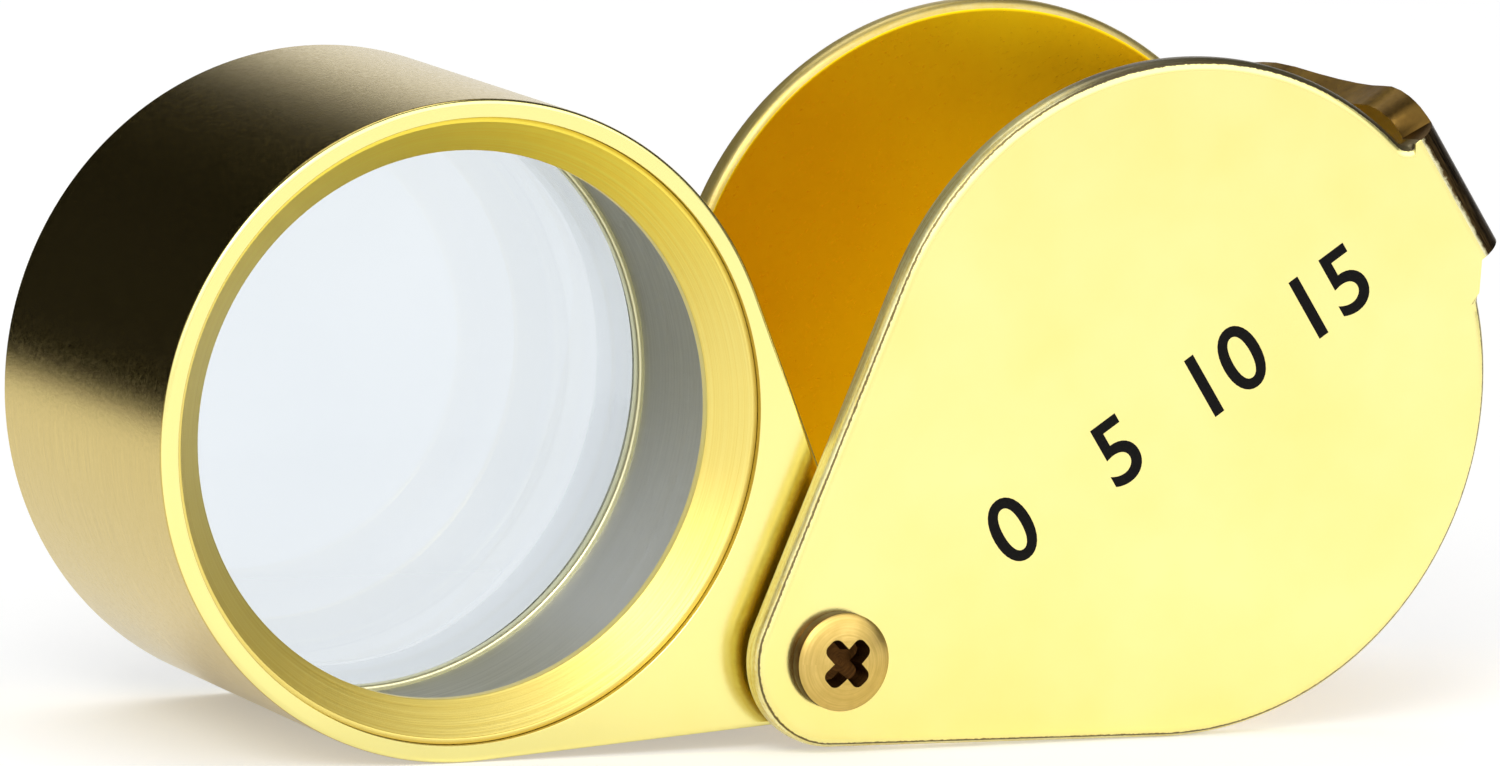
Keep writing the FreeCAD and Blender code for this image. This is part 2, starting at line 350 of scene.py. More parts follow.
def tidy_skin():
    """Weld what meets, turn the faces outwards and leave edit mode."""
    bpy.ops.mesh.select_all(action="SELECT")
    bpy.ops.mesh.remove_doubles(threshold=WELD)
    bpy.ops.mesh.normals_make_consistent(inside=False)
    bpy.ops.object.mode_set(mode="OBJECT")


def turned(name, profile, hollow=True, point=False, around=AROUND):
    """A round piece about Y, from a list of (radius, depth). A hollow one closes on its start."""
    radius, depth = profile[0]
    bpy.ops.mesh.primitive_circle_add(vertices=around, radius=radius, location=(0, depth, 0),
                                      rotation=(math.pi / 2, 0, 0),
                                      fill_type="NOTHING" if hollow else "NGON")
    piece = begin(name)
    for next_radius, next_depth in profile[1:] + (profile[:1] if hollow else []):
        move = {"value": (0, next_depth - depth, 0)}
        bpy.ops.mesh.extrude_region_move(TRANSFORM_OT_translate=move)
        grow = next_radius / radius
        bpy.ops.transform.resize(value=(grow, 1, grow), center_override=(0, 0, 0))
        radius, depth = next_radius, next_depth
    if point:
        bpy.ops.mesh.merge(type="CENTER")
    tidy_skin()
    return piece


def apply_modifier(piece, kind, **settings):
    """Add a modifier, set it and apply it."""
    hold(piece)
    bpy.ops.object.modifier_add(type=kind)
    modifier = piece.modifiers[-1]
    for key, value in settings.items():
        setattr(modifier, key, value)
    bpy.ops.object.modifier_apply(modifier=modifier.name)


def rounded(piece, width, rounds=2, sharper_than=35):
    """Round every edge that is sharper than an angle."""
    apply_modifier(piece, "BEVEL", width=width, segments=rounds, limit_method="ANGLE",
                   angle_limit=math.radians(sharper_than), use_clamp_overlap=True)


def carved(piece, cutter):
    """Cut one piece with another, which is used up."""
    apply_modifier(piece, "BOOLEAN", operation="DIFFERENCE", solver="EXACT", object=cutter)
    bpy.data.objects.remove(cutter)


def drilled(piece, radius, start, end):
    """Drill a round hole about the pivot, from one depth to another."""
    carved(piece, turned("drill", [(radius, start), (radius, end)], hollow=False,
                         around=AROUND_SMALL))


def settle(piece, middle, tilt, body, slot, *nodes):
    """Shrink a piece to size, tilt it, set it on its axis, smooth it and hand it to its body."""
    piece.location = (middle.x, 0, middle.z)
    piece.rotation_euler = (0, -tilt, 0)
    piece.scale = (MM, MM, MM)
    hold(piece)
    bpy.ops.object.transform_apply(location=True, rotation=True, scale=True)
    bpy.ops.object.shade_smooth_by_angle(angle=math.radians(40))
    apply_modifier(piece, "WEIGHTED_NORMAL", keep_sharp=True, weight=50)
    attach(piece, body)
    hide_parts(*nodes)
    corners = [vertex.co for vertex in piece.data.vertices]
    sizes = [(max(c[i] for c in corners) - min(c[i] for c in corners)) / MM for i in range(3)]
    print(f"{piece.name}: {len(piece.data.polygons)} faces, "
          f"{sizes[0]:.2f} x {sizes[1]:.2f} x {sizes[2]:.2f} mm")


def depths(node_name):
    """A node's nearest and furthest depth, in millimetres."""
    return [corner[1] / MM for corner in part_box(node_name)]


# %% [markdown]
# ## Drop-shaped outlines
#
# The barrel and both covers share one shape: a large round end about the lens, a small one about
# the pivot, and straight sides that touch both. A single point is enough to draw it. It is swept
# round the large end, pulled along the side, swept round the tip and pulled back.

# %% Outline of a drop
def drop_point(x, z, depth):
    """One loose point to draw with: a square merged to its middle."""
    bpy.ops.mesh.primitive_plane_add(size=1, location=(x, depth, z))


def sweep(middle, degrees, steps):
    """Sweep the selected point round an axis along Y, clockwise seen from the front."""
    bpy.ops.mesh.spin(steps=steps, angle=math.radians(-degrees), center=middle, axis=(0, 1, 0))


def pull(dx, dz, dy=0.0):
    """Pull an edge or a wall out of what is selected."""
    bpy.ops.mesh.extrude_region_move(TRANSFORM_OT_translate={"value": (dx, dy, dz)})


def drop_outline(name, round_radius, tip_radius, depth, neck=None):
    """A flat face with the drop's outline, its pivot at the origin and its lens on +X.

    A neck is (half width, end): a tongue on the round end, as far out as its end.
    """
    side = math.acos((tip_radius - round_radius) / reach)
    neck_angle = math.asin(neck[0] / round_radius) if neck else 0.0
    start_x = reach + round_radius * math.cos(neck_angle)
    start_z = -round_radius * math.sin(neck_angle)
    drop_point(start_x, start_z, depth)
    piece = begin(name)
    bpy.ops.mesh.merge(type="CENTER")
    round_steps = 3 * AROUND // 8
    sweep((reach, depth, 0), math.degrees(side - neck_angle), round_steps)
    along_x = tip_radius * math.cos(side) - reach - round_radius * math.cos(side)
    along_z = (round_radius - tip_radius) * math.sin(side)
    pull(along_x, along_z)
    sweep((0, depth, 0), math.degrees(2 * (math.pi - side)), AROUND // 4)
    pull(-along_x, along_z)
    sweep((reach, depth, 0), math.degrees(side - neck_angle), round_steps)
    if neck:
        pull(neck[1] - start_x, 0)
        pull(0, -2 * neck[0])
        pull(start_x - neck[1], 0)
    bpy.ops.mesh.select_all(action="SELECT")
    bpy.ops.mesh.remove_doubles(threshold=TOUCH)
    bpy.ops.mesh.edge_face_add()
    return piece


# %% [markdown]
# ## The barrel housing
#
# The real housing is turned and milled from brass bar: a drop-shaped block with a stepped hole for
# the lenses. It could be built from loops bridged by hand, but a machinist's order is simpler to
# follow. The outline is pushed back into a block, its outer edges are broken, and one turned
# cutter with the profile of the stepped hole is taken away. The cutter flares at both ends, which
# leaves the small bright chamfers round the holes.

# %% Housing
barrel_front, barrel_back = depths("barrel_housing")
barrel_radius, lug_radius, edge_break = 12.0, 2.51, 0.2
bore_radius, lip_radius, bush_hole_radius = 11.35, 10.75, 1.91
mouth_break, rear_break, beyond, air = 0.015, 0.3, 1.0, 0.015
lens_seat = depths("rear_lens")[1] + air

housing = drop_outline("barrel_body", barrel_radius, lug_radius, barrel_front)
pull(0, 0, barrel_back - barrel_front)
tidy_skin()
rounded(housing, edge_break, rounds=3)
bore_cutter = turned("bore_cutter", [
    (bore_radius + beyond + mouth_break, barrel_front - beyond),
    (bore_radius, barrel_front + mouth_break), (bore_radius, lens_seat), (lip_radius, lens_seat),
    (lip_radius, barrel_back - rear_break),
    (lip_radius + rear_break + beyond, barrel_back + beyond)], hollow=False)
bore_cutter.location.x = reach
carved(housing, bore_cutter)
drilled(housing, bush_hole_radius, barrel_front - beyond, barrel_back + beyond)
settle(housing, pivot, barrel_tilt, "barrel", "barrel_gold", "barrel_housing")

# %% [markdown]
# ## Rings and tube in the bore
#
# A retaining ring with a wide dished bevel is screwed into the mouth of the barrel, a little below
# its face. A thin grey tube behind it holds the lenses back, and a narrow pale ring frames the
# front lens. Their sharp edges get a tiny rounding, because a real edge always catches a line of
# light and a perfect one never does.

# %% Ring, tube and clamp
ring_front, ring_back = depths("front_retaining_ring")
tube_back = depths("spacer_tube")[1]
clamp_back = depths("lens_clamp_ring")[1] - air
ring_outside, aperture, ring_mouth, aperture_lip = 11.33, 9.95, 11.15, 0.4
thread_outside, tube_inside = ring_outside + 0.01, ring_outside - 0.18
clamp_inside, clamp_step, clamp_mouth = 10.94, 10.97, 11.03
ring_break, clamp_break = 0.015, 0.03

front_ring = turned("front_ring", [
    (thread_outside, ring_front), (thread_outside, ring_back),
    (aperture, ring_back), (aperture, ring_back - aperture_lip), (ring_mouth, ring_front)])
rounded(front_ring, ring_break, sharper_than=25)
settle(front_ring, lens_middle, 0.0, "barrel", "ring_gold", "front_retaining_ring")

inner_tube = turned("inner_tube", [(ring_outside, ring_back), (ring_outside, tube_back),
                                   (tube_inside, tube_back), (tube_inside, ring_back)])
settle(inner_tube, lens_middle, 0.0, "barrel", "tube_grey", "spacer_tube")

lens_ring = turned("lens_ring", [(ring_outside, tube_back), (ring_outside, clamp_back),
                                 (clamp_inside, clamp_back), (clamp_inside, tube_back + 0.10),
                                 (clamp_step, tube_back + 0.04), (clamp_mouth, tube_back)])
rounded(lens_ring, clamp_break, sharper_than=30)
settle(lens_ring, lens_middle, 0.0, "barrel", "clamp_brass", "lens_clamp_ring")

# %% [markdown]
# ## Lenses
#
# Two lenses of crown glass face each other with their bulging sides, and a bright conical ring
# keeps them apart. Glass bends light at its surface, so a lens has to be a closed solid with a
# truly smooth crown: its profile here is a run of short steps along the circle of the curve. Glass
# and metal never share a face exactly, because a ray cannot tell which of the two it meets first,
# so a hair of air is left between them. The narrow end of the cone hides the ledge behind the rear
# lens, where no light gets in, and the ledge is kept narrow for that.

# %% Front and rear lens
lens_radius, crown_radius, rim_depth = 11.3, 10.53, 0.85
spacer_narrow, spacer_wide = 10.55, 11.14


def lens_profile(flat, rim, crown, curve=50.0, steps=24, edge=0.1):
    """Steps from the flat face over the rim and along the crown."""
    outward = 1 if crown > flat else -1
    profile = [(lens_radius - edge, flat), (lens_radius, flat + outward * edge),
               (lens_radius, rim)]
    for step in range(steps):
        radius = crown_radius * (1 - step / steps)
        sag = curve - math.sqrt(curve ** 2 - radius ** 2)
        profile.append((radius, crown - outward * sag))
    return profile + [(edge, crown)]


eye_flat, eye_crown = depths("front_lens")
far_crown, far_flat = depths("rear_lens")
for name, flat, rim, crown, replaced in (
        ("eye_lens", eye_flat, eye_flat + rim_depth, eye_crown, "front_lens"),
        ("field_lens", far_flat, far_flat - rim_depth, far_crown, "rear_lens")):
    glass = turned(name, lens_profile(flat, rim, crown), hollow=False, point=True)
    settle(glass, lens_middle, 0.0, "barrel", "lens_glass", replaced)

spacer_front, spacer_back = eye_flat + rim_depth + air, far_flat - rim_depth - air
spacer = turned("crown_spacer", [(lens_radius, spacer_front), (lens_radius, spacer_back),
                                 (spacer_narrow, spacer_back), (spacer_wide, spacer_front)])
settle(spacer, lens_middle, 0.0, "barrel", "spacer_bright", "lens_spacer")

# %% [markdown]
# ## The case
#
# The case is one strip of sheet: a cover, a narrow neck, a bend, the strap, and the same again in
# mirror image. The clearest way to model sheet metal is the way it is made. A flat blank without
# thickness is drawn first, its neck is swept round the bend, the strap is pulled out of it with
# the two ears that spread just past the bend, and a mirror adds the other half. Only then does the
# sheet get its thickness, inwards, and its cut edges their rounding. The rounding of the covers is
# large enough to see, that of the strap is not. In the photo the upper ear is large and the lower
# one hardly shows, so the lower one is drawn in.

# %% Case sheet
case_front = depths("case_shell")[0]
cover_radius, tip_radius = 12.55, 3.26
sheet, neck_half, bend, set_back = 1.2, 2.65, 1.25, 0.12
corner_round, cut_width, cut_height, near = 0.38, 0.4, 0.75, 0.01
bend_x = strap_outside - set_back - bend
strap_x = bend_x + 0.1
case = drop_outline("case_sheet", cover_radius, tip_radius, case_front, neck=(neck_half, bend_x))
neck_corner = reach + math.sqrt(cover_radius ** 2 - neck_half ** 2)
found = pick("VERT", lambda v: abs(v.co.x - neck_corner) < near and abs(v.co.z - neck_half) < near)
bpy.ops.mesh.bevel(affect="VERTICES", offset=corner_round, segments=5)
cut_away = pick("VERT", lambda v: abs(v.co.x - neck_corner) < cut_width
                and -neck_half - cut_height < v.co.z < 0)
bpy.ops.mesh.dissolve_verts()
print("neck corners rounded:", found, "corners cut away below:", cut_away)

# %% Bend and strap
def widen(share):
    """Stretch what is selected across the strip."""
    bpy.ops.transform.resize(value=(1, 1, share), center_override=(0, 0, 0))


# half widths at the last steps of the bend, then by distance behind the front face
bend_steps = 10
bend_widths = {9: 2.85, 10: 3.2}
strap_stations = [(1.45, 3.42), (1.72, 3.62), (2.2, 3.80), (2.85, 3.87), (3.6, 3.78), (4.6, 3.64),
                  (5.8, 3.54), (7.4, 3.47), (-case_front, 3.45)]
back_widths = {1.25: 2.65, 1.45: 2.68, 1.72: 2.72, 2.2: 2.8, 2.85: 2.92, 3.6: 3.06, 4.6: 3.24,
               5.8: 3.40}
half_width = neck_half
pick("VERT", lambda v: abs(v.co.x - bend_x) < TOUCH)
for step in range(1, bend_steps + 1):
    bpy.ops.mesh.spin(steps=1, angle=math.radians(-90 / bend_steps),
                      center=(bend_x, case_front + bend, 0), axis=(0, 0, 1))
    next_width = bend_widths.get(step, neck_half)
    widen(next_width / half_width)
    half_width = next_width
behind = bend
for station, next_width in strap_stations:
    pull(0, 0, station - behind)
    widen(next_width / half_width)
    behind, half_width = station, next_width
tidy_skin()
front_faces = [face for face in case.data.polygons if face.center.y < case_front + near]
if front_faces[0].normal.y > 0:
    case.data.flip_normals()
apply_modifier(case, "MIRROR", use_axis=(False, True, False), use_clip=True, merge_threshold=TOUCH)

# %% Far end and lower side of the strap
ear_left, ear_growth = 0.25, 0.15
bpy.ops.object.mode_set(mode="EDIT")
for station, back_width in back_widths.items():
    front_width = dict([(bend, bend_widths[10])] + strap_stations)[station]
    pick("VERT", lambda v: v.co.x > strap_x and abs(v.co.y + case_front + station) < near)
    widen(back_width / front_width)
pick("VERT", lambda v: v.co.x > strap_x and v.co.y > -case_front - bend + near
     and abs(v.co.z) > neck_half + near)
back_bend = [v for v in bmesh.from_edit_mesh(case.data).verts if v.select]
for corner in back_bend:
    corner.co.z = math.copysign(neck_half, corner.co.z)
pick("VERT", lambda v: v.co.x > strap_x and v.co.z < -neck_half - near)
low_side = [v for v in bmesh.from_edit_mesh(case.data).verts if v.select]
for corner in low_side:
    kept_share = min(1.0, ear_left + ear_growth * (abs(case_front) - abs(corner.co.y)))
    corner.co.z = -neck_half + (corner.co.z + neck_half) * kept_share
bmesh.update_edit_mesh(case.data)
bpy.ops.object.mode_set(mode="OBJECT")
print("corners brought in at the far bend:", len(back_bend), "and below:", len(low_side))

# %% Thickness, rounded edges and holes
outline_round, strap_round, sharp = 0.45, 0.12, 50
screw_hole, post_hole = 1.1, 1.42
apply_modifier(case, "SOLIDIFY", thickness=sheet, offset=-1, use_even_offset=True)
bpy.ops.object.mode_set(mode="EDIT")
found = pick("EDGE", lambda e: max(v.co.x for v in e.verts) < bend_x - near
             and e.calc_face_angle(0.0) > math.radians(sharp))
bpy.ops.mesh.bevel(affect="EDGES", offset=outline_round, segments=6, clamp_overlap=False)
bpy.ops.object.mode_set(mode="OBJECT")
print("outline edges rounded:", found)
rounded(case, strap_round, sharper_than=sharp)
flat_radius = max(math.hypot(v.co.x, v.co.z) for v in case.data.vertices
                  if v.co.x < 0 and abs(v.co.y - case_front) < TOUCH)
print(f"rounding at the tip {tip_radius - flat_radius:.2f} mm")
drilled(case, screw_hole, case_front - beyond, case_front + sheet + beyond)
drilled(case, post_hole, -case_front - sheet - beyond, -case_front + beyond)

# %% [markdown]
# ## Which side of the sheet a face is on
#
# The outer faces are polished and plated, the inner ones only plated, and the cut edges show where
# the press sheared the sheet. Each face is told apart by the way it looks, while the case still
# lies along X: outwards, inwards, or along the sheet.

# %% Faces of the case sorted by finish
case_metals = ["gold_polished", "gold_cut_edge", "gold_inside", "gold_bend", "gold_strap_edge"]
OUTER, CUT, INNER, BEND, STRAP_EDGE = range(len(case_metals))
OUTWARD_ON_STRAP, OUTWARD, INWARD = 0.8, 0.96, -0.98


def finish_named(name):
    """A material by its name, new if there is none yet."""
    return bpy.data.materials.get(name) or bpy.data.materials.new(name)


def dress(piece, *names):
    """Give a piece its finishes, in place of any that it has."""
    piece.data.materials.clear()
    for name in names:
        piece.data.materials.append(finish_named(name))


dress(case, *case_metals)
counts = [0] * len(case_metals)
for face in case.data.polygons:
    x, y, z = face.center
    on_strap = x > strap_x
    outward = face.normal.y if y > 0 else -face.normal.y
    if on_strap:
        radial = Vector((x - bend_x, abs(y) - (abs(case_front) - bend), 0))
        radial = Vector((1, 0, 0)) if radial.y < 0 else radial.normalized()
        outward = face.normal.x * radial.x + outward * radial.y
    if outward > (OUTWARD_ON_STRAP if on_strap else OUTWARD):
        face.material_index = BEND if on_strap else OUTER
    elif outward < INWARD:
        face.material_index = INNER
    else:
        face.material_index = STRAP_EDGE if on_strap else CUT
    counts[face.material_index] += 1
print("faces by finish:", dict(zip(case_metals, counts)))
settle(case, pivot, case_tilt, "case", "case_gold", "case_shell")

# %% [markdown]
# ## Screw and post
#
# A cross-head screw comes in from the front and a slotted threaded post from behind, and the
# barrel turns on the post. Both heads are low domes. They are turned like the rings, and the
# driver's cross and slot are cut with tapered blocks, because a real driver recess narrows towards
# its floor.

# %% Heads and driver recesses
HEAD_SIDE, HEAD_CROWN, HEAD_HEIGHT = 0.55, 0.35, 0.9
STAND_OUT, FLOOR_LENGTH, FLOOR_WIDTH = 0.5, 0.72, 0.65


def head_profile(radius, seat, outward, steps=8):
    """Steps over a domed head, from its middle to its seat."""
    curve = (radius ** 2 + HEAD_CROWN ** 2) / (2 * HEAD_CROWN)
    top = seat + outward * (HEAD_SIDE + HEAD_CROWN)
    profile = [(0.08, top)]
    for step in range(1, steps + 1):
        across = (radius - 0.1) * step / steps
        profile.append((across, top - outward * (curve - math.sqrt(curve ** 2 - across ** 2))))
    return profile + [(radius, seat + outward * (HEAD_SIDE - 0.06)), (radius, seat)]


def tapered_block(length, width, depth, top, inward, turn_by, corner=0.0):
    """A driver-shaped block whose inner end is narrower, with its corners rounded."""
    bpy.ops.object.select_all(action="DESELECT")
    middle = (0, top + inward * (depth - STAND_OUT) / 2, 0)
    bpy.ops.mesh.primitive_cube_add(size=1, location=middle)
    block = begin("driver")
    bpy.ops.transform.resize(value=(length, depth + STAND_OUT, width), center_override=middle)
    pick("VERT", lambda v: (v.co.y - top) * inward > 0)
    bpy.ops.transform.resize(value=(FLOOR_LENGTH, 1, FLOOR_WIDTH), center_override=(0, top, 0))
    if corner:
        pick("EDGE", lambda e: abs(e.verts[0].co.y - e.verts[1].co.y) > depth / 2)
        bpy.ops.mesh.bevel(offset=corner, segments=5, affect="EDGES")
    bpy.ops.object.mode_set(mode="OBJECT")
    block.rotation_euler.y = turn_by
    return block


# %% Pivot screw
screw_head, screw_shank, metal_break = 1.8, 1.0, 0.05
cross_reach, recess_skin = 1.5, 0.09
arm_length, arm_width, arm_depth, arm_corner = 2.35, 0.90, 0.80, 0.27
screw_end, post_start = depths("pivot_screw")[1], depths("pivot_post")[0]
screw_top = case_front - HEAD_HEIGHT
screw = turned("cross_screw", head_profile(screw_head, case_front, -1)
               + [(screw_shank, case_front), (screw_shank, screw_end)],
               hollow=False, around=AROUND_HEAD)
for turn_by in (math.radians(46), math.radians(136)):
    carved(screw, tapered_block(arm_length, arm_width, arm_depth, screw_top, 1, turn_by,
                                corner=arm_corner))
rounded(screw, metal_break, sharper_than=40)
dress(screw, "screw_head_brass", "screw_painted_shade")
# The cross and the side of the head get the near-black finish: painted shade in the cross and a painted shadow
# round the head.
for face in screw.data.polygons:
    x, y, z = face.center
    away = math.hypot(x, z)
    crown_height = screw_top + away ** 2 * HEAD_CROWN / (screw_head ** 2 + HEAD_CROWN ** 2)
    in_cross = away < cross_reach and crown_height + recess_skin < y < case_front
    face.material_index = 1 if in_cross or away > screw_head - near else 0
settle(screw, pivot, 0.0, "case", "screw_brass", "pivot_screw")

# %% Pivot post
post_head, post_shank, thread_radius, thread_depth = 2.1, 1.4, 1.01, 8.0
slot_length, slot_width, slot_depth, slot_turn = 6.5, 0.55, 0.4, math.radians(20)
case_back = -case_front
post = turned("slotted_post", head_profile(post_head, case_back, 1)
              + [(post_shank, case_back), (post_shank, post_start)],
              hollow=False, around=AROUND_HEAD)
drilled(post, thread_radius, post_start - beyond, post_start + thread_depth)
carved(post, tapered_block(slot_length, slot_width, slot_depth, case_back + HEAD_HEIGHT, -1,
                           slot_turn))
rounded(post, metal_break, sharper_than=40)
settle(post, pivot, 0.0, "case", "post_brass", "pivot_post")

# %% [markdown]
# ## A plain row of numbers
#
# The real cover carries a printed line. Here its place is taken by plain numbers, five
# millimetres apart, as on a ruler. Print is ink on metal: thin letters that stand a hundredth of a
# millimetre proud. Text is typed as a curve, turned into a mesh, and laid on the cover.

# %% Numbers on the front cover
letter_size, ink_height, ink_swell, below_middle = 3.6, 0.012, 0.035, 0.15
numbers = []
for along, word in ((8.2, "0"), (13.2, "5"), (18.2, "10"), (23.2, "15")):
    bpy.ops.object.text_add(location=(0, 0, 0))
    letter = bpy.context.object
    letter.data.body = word
    letter.data.size = letter_size
    letter.data.align_x = "CENTER"
    letter.data.align_y = "CENTER"
    letter.data.extrude = ink_height
    letter.data.offset = ink_swell
    letter.data.resolution_u = 8
    bpy.ops.object.convert(target="MESH")
    letter.location = (along, case_front, -below_middle)
    letter.rotation_euler = (math.pi / 2, 0, 0)
    numbers.append(letter)
hold(numbers[0])
for letter in numbers:
    letter.select_set(True)
bpy.ops.object.join()
print_line = begin("cover_numbers")
tidy_skin()
settle(print_line, pivot, case_tilt, "case", "case_gold")

# %% [markdown]
# ## Finishes
#
# Each finish starts from one principled shader whose colour, roughness and bump come from noise in
# the piece's own place, in millimetres along its own axis. So a pattern keeps its size on the
# object and goes round with the turning marks.

# %% Finish helpers
def local_place(tree, middle, tilt):
    """The place on the object in millimetres, with its own axis along X."""
    coordinates = node(tree, "ShaderNodeTexCoord").outputs["Object"]
    return node(tree, "ShaderNodeMapping", {
        "Vector": coordinates, "Location": (middle.x, 0, middle.z), "Rotation": (0, -tilt, 0),
        "Scale": (MM, MM, MM)}, vector_type="TEXTURE").outputs["Vector"]


def new_finish(name, colour, roughness, middle, tilt=0.0, metallic=1.0, **more):
    """A material's tree, its one shader, and the place on the object for its patterns."""
    print("finish", name)
    material = finish_named(name)
    material.use_nodes = True
    tree = material.node_tree
    tree.nodes.clear()
    shader = node(tree, "ShaderNodeBsdfPrincipled", {
        "Base Color": (*colour, 1), "Roughness": roughness, "Metallic": metallic, **more})
    node(tree, "ShaderNodeOutputMaterial", {"Surface": shader.outputs[0]})
    return tree, shader, local_place(tree, middle, tilt)


def stretched(tree, place, amounts):
    """The same place with each axis stretched, so that noise turns into streaks."""
    return node(tree, "ShaderNodeVectorMath", {0: place, 1: amounts},
                operation="MULTIPLY").outputs[0]


def lathe_place(tree, place, across, around, along):
    """Radius, angle and depth as a place, for marks that run round the axis."""
    x, y, z = axes_of(tree, place)
    radius = calculate(tree, "SQRT", plus(tree, times(tree, x, x), times(tree, z, z)))
    angle = calculate(tree, "ARCTAN2", z, x)
    return node(tree, "ShaderNodeCombineXYZ", {
        0: times(tree, radius, across), 1: times(tree, angle, around),
        2: times(tree, y, along)}).outputs[0]


def grain(tree, place, scale, detail=3.0, roughness=0.55):
    """Noise from 0 to 1."""
    return node(tree, "ShaderNodeTexNoise", {"Vector": place, "Scale": scale, "Detail": detail,
                                             "Roughness": roughness}).outputs["Fac"]


def drive(tree, shader, socket, value):
    """Let a value set one of the shader's sockets."""
    tree.links.new(value, shader.inputs[socket])


def toned(tree, noise, low=0, high=1):
    """Noise, which seldom leaves 0.3 to 0.7, moved to a range of its own."""
    return spread(tree, noise, 0.3, 0.7, low, high)


def gloss(tree, shader, noise, low, high):
    """Roughness between two values."""
    drive(tree, shader, "Roughness", toned(tree, noise, low, high))


def raise_by(tree, shader, height, depth_mm):
    """Bump the surface by a height map, its depth in millimetres."""
    bump = node(tree, "ShaderNodeBump", {"Height": height, "Strength": 1.0,
                                         "Distance": depth_mm * MM})
    drive(tree, shader, "Normal", bump.outputs["Normal"])


def mottle(tree, shader, share, first, second):
    """Base colour between two tones."""
    drive(tree, shader, "Base Color", blended(tree, share, (*first, 1), (*second, 1)))


# %% [markdown]
# ## Polished plate
#
# The outside of both covers is polished before it is plated. Nothing shows there but slow smears
# and very fine scratches along the strip, so the gloss changes by a few hundredths only.

# %% Gold of the case
PLATE = (0.97, 0.87, 0.325)
tree, shader, place = new_finish("gold_polished", PLATE, 0.2, pivot, case_tilt)
smears = grain(tree, place, 0.16)
fine = grain(tree, stretched(tree, place, (0.8, 6, 14)), 3.0, detail=4)
mottle(tree, shader, toned(tree, smears), (0.96, 0.845, 0.29), (0.98, 0.895, 0.36))
gloss(tree, shader, smears, 0.17, 0.23)
raise_by(tree, shader, fine, 0.0015)

# %% [markdown]
# ## Cut edges
#
# A press shears the blank out of the sheet. The sheared edge keeps fine streaks that run along it.
# Where it rolls over into the polished face, a thin dark line is a painted dark reflection. On the
# front cover a darker amber line along the inner border is painted shade by the gap, and along the
# top the edge is painted dark as a painted dark reflection. On the back cover the sheared edge is a
# darker amber and its outer rim a painted dark reflection. Most of this depends on how deep in the
# sheet a point lies, so the depth drives the finish.

# %% Gold of the cut edges
tree, shader, place = new_finish("gold_cut_edge", (0.98, 0.90, 0.45), 0.35, pivot, case_tilt,
                                 metallic=0.75)
along, depth, across = axes_of(tree, place)
streaks = grain(tree, stretched(tree, place, (0.35, 7, 0.35)), 1.6, detail=4, roughness=0.6)
specks = grain(tree, place, 7.0)
depth_in = calculate(tree, "ABSOLUTE", depth)
wavy = plus(tree, depth_in, times(tree, specks, 0.06))
LINE_DEPTH = 9.065
roll = spread(tree, wavy, LINE_DEPTH + 0.02, LINE_DEPTH + 0.05)
off_line = calculate(tree, "ABSOLUTE", calculate(tree, "SUBTRACT", wavy, LINE_DEPTH))
# A thin dark line where the edge rolls into the polished face: a painted dark reflection.
painted_reflection_line = spread(tree, off_line, 0.04, 0.015, smooth=True)
# A darker amber line along the inner border of the front cover: painted shade by the gap.
inner_painted_shade = spread(tree, wavy, 8.12, 8.00, 0.0, 0.8, smooth=True)
on_front = calculate(tree, "LESS_THAN", depth, 0.0)
# The outer rim of the back cover is painted dark olive: a painted dark reflection.
back_rim_dark_reflection = times(tree, rest_of(tree, on_front),
                    spread(tree, wavy, 9.0, 9.1, 0.0, 0.75, smooth=True))
# Along the top of the front cover the edge is painted dark brown: a painted dark reflection.
top_edge_dark_reflection = times(tree, spread(tree, along, 16.5, 20.0, 0.0, 0.9, smooth=True),
             spread(tree, across, 0.0, 2.0))
below_roll = spread(tree, wavy, LINE_DEPTH + 0.05, LINE_DEPTH + 0.02)
top_edge_dark_reflection = times(tree, top_edge_dark_reflection, times(tree, on_front, below_roll))
share = spread(tree, plus(tree, streaks, times(tree, specks, 0.35)), 0.50, 0.80, 0, 1)
sheared = blended(tree, share, (0.80, 0.64, 0.18, 1), (1.0, 0.94, 0.52, 1))
edge_gold = blended(tree, roll, sheared, (*PLATE, 1))
edge_gold = blended(tree, times(tree, inner_painted_shade, on_front), edge_gold, (0.46, 0.25, 0.03, 1))
edge_gold = blended(tree, spread(tree, on_front, 0, 1, 0.7, 0.0), edge_gold, (0.50, 0.36, 0.07, 1))
edge_gold = blended(tree, painted_reflection_line, edge_gold, (0.16, 0.12, 0.04, 1))
edge_gold = blended(tree, back_rim_dark_reflection, edge_gold, (0.16, 0.13, 0.06, 1))
edge_gold = blended(tree, top_edge_dark_reflection, edge_gold, (0.085, 0.065, 0.035, 1))
drive(tree, shader, "Base Color", edge_gold)
drive(tree, shader, "Roughness", spread(tree, roll, 0, 1, 0.36, 0.2))
drive(tree, shader, "Metallic", spread(tree, roll, 0, 1, 0.7, 1.0))
rough_height = plus(tree, streaks, times(tree, specks, 0.6))
rough_height = times(tree, rough_height, spread(tree, roll, 0, 1, 1.0, 0.05))
raise_by(tree, shader, rough_height, 0.008)

# %% [markdown]
# ## Inside of the case
#
# The plating inside was never polished. It is deeper and more orange than outside, with a cloudy
# tone, and it mirrors only softly. It could be the same gold with less gloss, but the photo shows
# a colour of its own.

# %% Gold inside the case
tree, shader, place = new_finish("gold_inside", (0.90, 0.64, 0.01), 0.3, pivot, case_tilt)
along = axes_of(tree, place)["X"]
# A random cloudy tone, plus darkening away from the pivot towards the strap between the two covers: painted shade.
cloud_and_painted_shade = plus(tree, grain(tree, place, 0.30), spread(tree, along, 6, 20, 0.5, 0.0))
fine = grain(tree, stretched(tree, place, (2, 2, 9)), 2.5)
mottle(tree, shader, cloud_and_painted_shade, (0.92, 0.58, 0.005), (1.0, 0.71, 0.01))
gloss(tree, shader, fine, 0.27, 0.33)
raise_by(tree, shader, fine, 0.0002)
